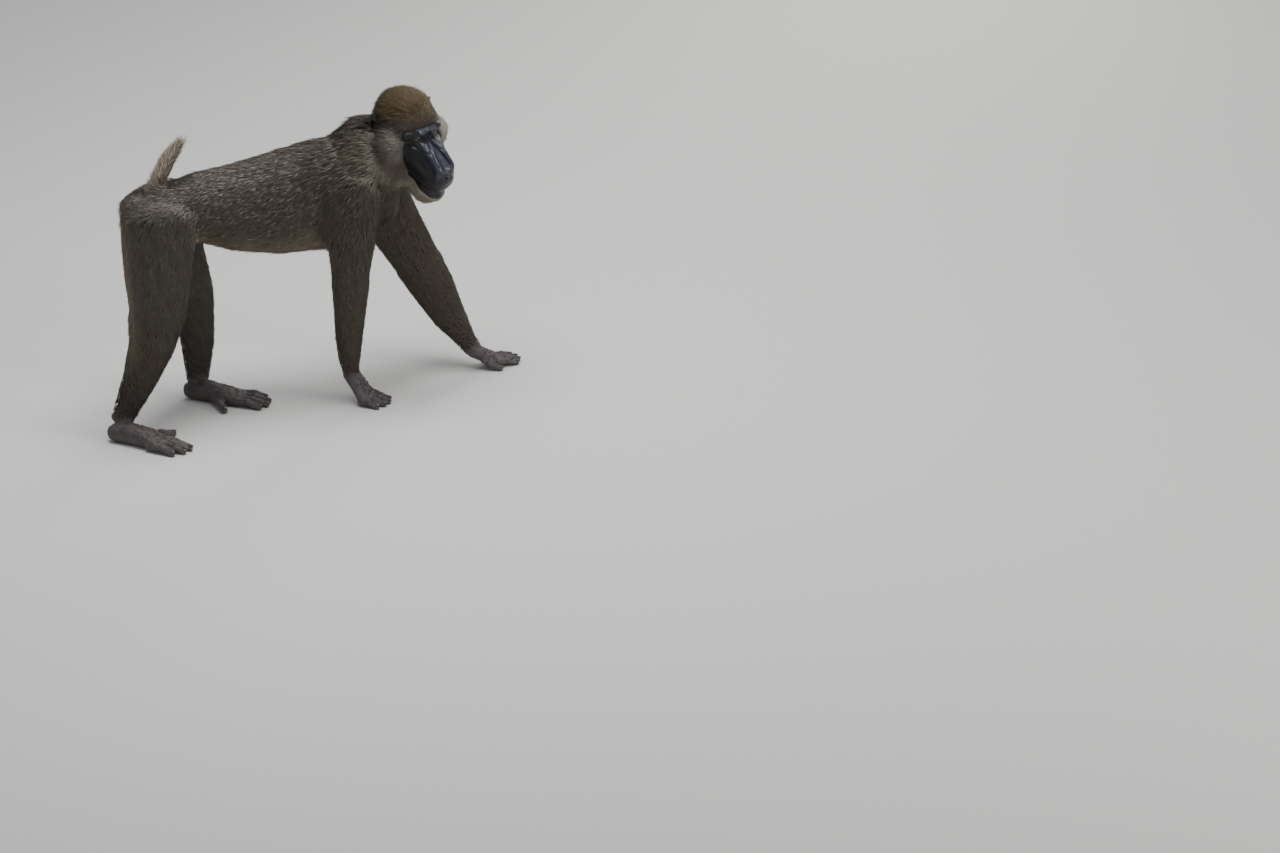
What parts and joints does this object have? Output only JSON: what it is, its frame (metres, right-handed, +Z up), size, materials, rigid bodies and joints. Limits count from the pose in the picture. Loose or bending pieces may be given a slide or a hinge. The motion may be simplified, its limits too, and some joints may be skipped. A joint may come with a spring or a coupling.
{
  "type": "drill monkey model",
  "caption": "Life-size still model of a grey-brown drill walking on all fours, short tail raised, long black face turned to its right, one arm reaching forward.",
  "frame": {"origin": "on the floor, at the centre of the bounding box's underside, between the four feet", "axes": "+X the way the animal walks, from tail to chest, +Z up, so +Y is the animal's left side"},
  "size_m": [0.8228, 0.3002, 0.6089],
  "materials": {
    "coat": "short to medium fur, grey-brown with olive crown, buff belly and tail",
    "bare_skin": "black glossy face, dull purplish dark grey hands and feet",
    "eye": "polished amber-brown eye"
  },
  "bodies": {
    "root": {"chest": "coat", "belly": "coat", "rump": "coat", "neck": "coat", "tail": "coat", "head": "coat", "muzzle": "bare_skin", "lower_jaw": "bare_skin", "eye_left": "eye", "eye_right": "eye", "ear_left": "bare_skin", "ear_right": "bare_skin", "upper_arm_right": "coat", "forearm_right": "coat", "hand_right": "bare_skin", "upper_arm_left": "coat", "forearm_left": "coat", "hand_left": "bare_skin", "thigh_right": "coat", "shank_right": "coat", "foot_right": "bare_skin", "thigh_left": "coat", "shank_left": "coat", "foot_left": "bare_skin"}
  },
  "joints": []
}
